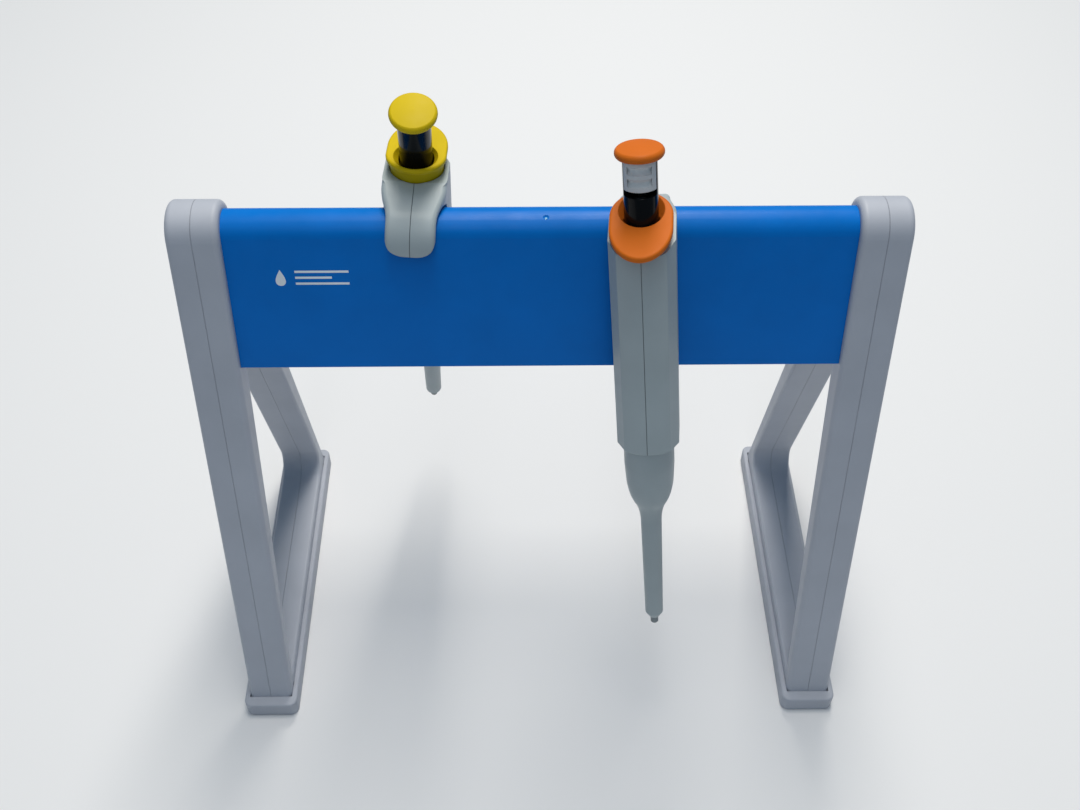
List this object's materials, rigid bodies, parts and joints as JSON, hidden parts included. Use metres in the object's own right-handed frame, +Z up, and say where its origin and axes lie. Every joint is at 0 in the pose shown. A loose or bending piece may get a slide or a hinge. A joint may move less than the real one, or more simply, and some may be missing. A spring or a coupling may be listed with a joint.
{
  "type": "pipette set on a bench stand",
  "caption": "Bench stand with two A-shaped side frames joined by a blue inverted-V bar, from which mechanical pipettes hang by their finger hooks.",
  "frame": {"origin": "on the bench top, in the middle of the stand's footprint", "axes": "+X along the bar, +Z up, -Y towards the front, where the orange pipette hangs"},
  "size_m": [0.3052, 0.1702, 0.3065],
  "materials": {
    "bar_plastic": "moulded blue, satin-gloss",
    "bracket_plastic": "moulded grey, hidden",
    "frame_plastic": "moulded light grey, satin",
    "shoe_plastic": "moulded light grey, satin",
    "pad_rubber": "matte black rubber",
    "screw_steel": "zinc plated",
    "body_plastic": "moulded grey, satin",
    "orange_plastic": "moulded orange, satin",
    "yellow_plastic": "moulded yellow, satin",
    "stem_plastic": "polished black",
    "slider_plastic": "moulded light grey",
    "cone_plastic": "moulded dark grey",
    "core_plastic": "moulded natural white",
    "drum_plastic": "moulded white with dark digits",
    "window_clear": "clear window",
    "spring_steel": "bright spring wire",
    "rod_steel": "ground stainless steel",
    "seal_ptfe": "white PTFE"
  },
  "bodies": {
    "stand": {"hanging_bar": "bar_plastic", "left_bar_bracket": "bracket_plastic", "right_bar_bracket": "bracket_plastic", "left_frame_outer": "frame_plastic", "left_frame_inner": "frame_plastic", "right_frame_outer": "frame_plastic", "right_frame_inner": "frame_plastic", "left_base_shoe": "shoe_plastic", "right_base_shoe": "shoe_plastic", "left_foot_pads": "pad_rubber", "right_foot_pads": "pad_rubber", "frame_screws": "screw_steel"},
    "orange_pipette": {"orange_handle_left": "body_plastic", "orange_handle_right": "body_plastic", "orange_handle_screws": "screw_steel", "orange_display_window": "window_clear", "orange_inner_frame": "core_plastic", "orange_drum_clip": "core_plastic", "orange_tip_cone": "cone_plastic", "orange_piston_seal": "seal_ptfe", "orange_main_spring": "spring_steel", "orange_blowout_spring": "spring_steel", "orange_ejector_spring": "spring_steel"},
    "orange_plunger": {"orange_plunger_rod": "rod_steel", "orange_piston": "rod_steel"},
    "orange_knob": {"orange_button_cap": "orange_plastic", "orange_knob_stem": "stem_plastic", "orange_setting_spindle": "rod_steel"},
    "orange_lock": {"orange_lock_slider": "slider_plastic"},
    "orange_ejector": {"orange_ejector_collar": "orange_plastic", "orange_ejector_bar": "rod_steel", "orange_ejector_sleeve": "body_plastic"},
    "orange_units_drum_body": {"orange_units_drum": "drum_plastic"},
    "orange_tens_drum_body": {"orange_tens_drum": "drum_plastic"},
    "orange_hundreds_drum_body": {"orange_hundreds_drum": "drum_plastic"},
    "yellow_pipette": {"yellow_handle_left": "body_plastic", "yellow_handle_right": "body_plastic", "yellow_handle_screws": "screw_steel", "yellow_display_window": "window_clear", "yellow_inner_frame": "core_plastic", "yellow_drum_clip": "core_plastic", "yellow_tip_cone": "cone_plastic", "yellow_piston_seal": "seal_ptfe", "yellow_main_spring": "spring_steel", "yellow_blowout_spring": "spring_steel", "yellow_ejector_spring": "spring_steel"},
    "yellow_plunger": {"yellow_plunger_rod": "rod_steel", "yellow_piston": "rod_steel"},
    "yellow_knob": {"yellow_button_cap": "yellow_plastic", "yellow_knob_stem": "stem_plastic", "yellow_setting_spindle": "rod_steel"},
    "yellow_lock": {"yellow_lock_slider": "slider_plastic"},
    "yellow_ejector": {"yellow_ejector_collar": "yellow_plastic", "yellow_ejector_bar": "rod_steel", "yellow_ejector_sleeve": "body_plastic"},
    "yellow_units_drum_body": {"yellow_units_drum": "drum_plastic"},
    "yellow_tens_drum_body": {"yellow_tens_drum": "drum_plastic"},
    "yellow_hundreds_drum_body": {"yellow_hundreds_drum": "drum_plastic"}
  },
  "joints": [
    {"name": "orange_lift_off", "type": "slide", "parent": "stand", "child": "orange_pipette", "axis": [-0.0785, 0.2614, 0.962], "range_m": [0, 0.06]},
    {"name": "orange_plunger_press", "type": "slide", "parent": "orange_pipette", "child": "orange_plunger", "axis": [0.0785, -0.2614, -0.962], "range_m": [0, 0.014], "stiffness_N_per_m": 350, "springref_m": -0.004, "deforming": ["orange_main_spring", "orange_blowout_spring"]},
    {"name": "orange_volume_knob", "type": "hinge", "parent": "orange_plunger", "child": "orange_knob", "pos_m": [0.03612, -0.01218, 0.30284], "axis": [-0.0785, 0.2614, 0.962], "range_deg": [-1800, 1800]},
    {"name": "orange_lock_slide", "type": "slide", "parent": "orange_knob", "child": "orange_lock", "axis": [0.0785, -0.2614, -0.962], "range_m": [0, 0.0026]},
    {"name": "orange_tip_ejector", "type": "slide", "parent": "orange_pipette", "child": "orange_ejector", "axis": [0.0785, -0.2614, -0.962], "range_m": [0, 0.005], "stiffness_N_per_m": 500, "springref_m": -0.004, "deforming": ["orange_ejector_spring"]},
    {"name": "orange_units_drum_turn", "type": "hinge", "parent": "orange_pipette", "child": "orange_units_drum_body", "pos_m": [0.04287, -0.03469, 0.22], "axis": [-0.0785, 0.2614, 0.962], "range_deg": [-1800, 1800]},
    {"name": "orange_tens_drum_turn", "type": "hinge", "parent": "orange_pipette", "child": "orange_tens_drum_body", "pos_m": [0.04238, -0.03304, 0.22606], "axis": [-0.0785, 0.2614, 0.962], "range_deg": [-180, 180]},
    {"name": "orange_hundreds_drum_turn", "type": "hinge", "parent": "orange_pipette", "child": "orange_hundreds_drum_body", "pos_m": [0.04189, -0.0314, 0.23213], "axis": [-0.0785, 0.2614, 0.962], "range_deg": [-18, 18]},
    {"name": "yellow_lift_off", "type": "slide", "parent": "stand", "child": "yellow_pipette", "axis": [0.0366, -0.262, 0.9644], "range_m": [0, 0.06]},
    {"name": "yellow_plunger_press", "type": "slide", "parent": "yellow_pipette", "child": "yellow_plunger", "axis": [-0.0366, 0.262, -0.9644], "range_m": [0, 0.014], "stiffness_N_per_m": 350, "springref_m": -0.004, "deforming": ["yellow_main_spring", "yellow_blowout_spring"]},
    {"name": "yellow_volume_knob", "type": "hinge", "parent": "yellow_plunger", "child": "yellow_knob", "pos_m": [-0.04922, 0.01216, 0.30294], "axis": [0.0366, -0.262, 0.9644], "range_deg": [-1800, 1800]},
    {"name": "yellow_lock_slide", "type": "slide", "parent": "yellow_knob", "child": "yellow_lock", "axis": [-0.0366, 0.262, -0.9644], "range_m": [0, 0.0026]},
    {"name": "yellow_tip_ejector", "type": "slide", "parent": "yellow_pipette", "child": "yellow_ejector", "axis": [-0.0366, 0.262, -0.9644], "range_m": [0, 0.005], "stiffness_N_per_m": 500, "springref_m": -0.004, "deforming": ["yellow_ejector_spring"]},
    {"name": "yellow_units_drum_turn", "type": "hinge", "parent": "yellow_pipette", "child": "yellow_units_drum_body", "pos_m": [-0.05238, 0.03472, 0.2199], "axis": [0.0366, -0.262, 0.9644], "range_deg": [-1800, 1800]},
    {"name": "yellow_tens_drum_turn", "type": "hinge", "parent": "yellow_pipette", "child": "yellow_tens_drum_body", "pos_m": [-0.05214, 0.03307, 0.22598], "axis": [0.0366, -0.262, 0.9644], "range_deg": [-180, 180]},
    {"name": "yellow_hundreds_drum_turn", "type": "hinge", "parent": "yellow_pipette", "child": "yellow_hundreds_drum_body", "pos_m": [-0.05191, 0.03142, 0.23205], "axis": [0.0366, -0.262, 0.9644], "range_deg": [-18, 18]}
  ],
  "couplings": [
    {"joint": "orange_units_drum_turn", "follows": "orange_volume_knob", "ratio": 1},
    {"joint": "orange_tens_drum_turn", "follows": "orange_volume_knob", "ratio": 0.1},
    {"joint": "orange_hundreds_drum_turn", "follows": "orange_volume_knob", "ratio": 0.01},
    {"joint": "yellow_units_drum_turn", "follows": "yellow_volume_knob", "ratio": 1},
    {"joint": "yellow_tens_drum_turn", "follows": "yellow_volume_knob", "ratio": 0.1},
    {"joint": "yellow_hundreds_drum_turn", "follows": "yellow_volume_knob", "ratio": 0.01}
  ]
}
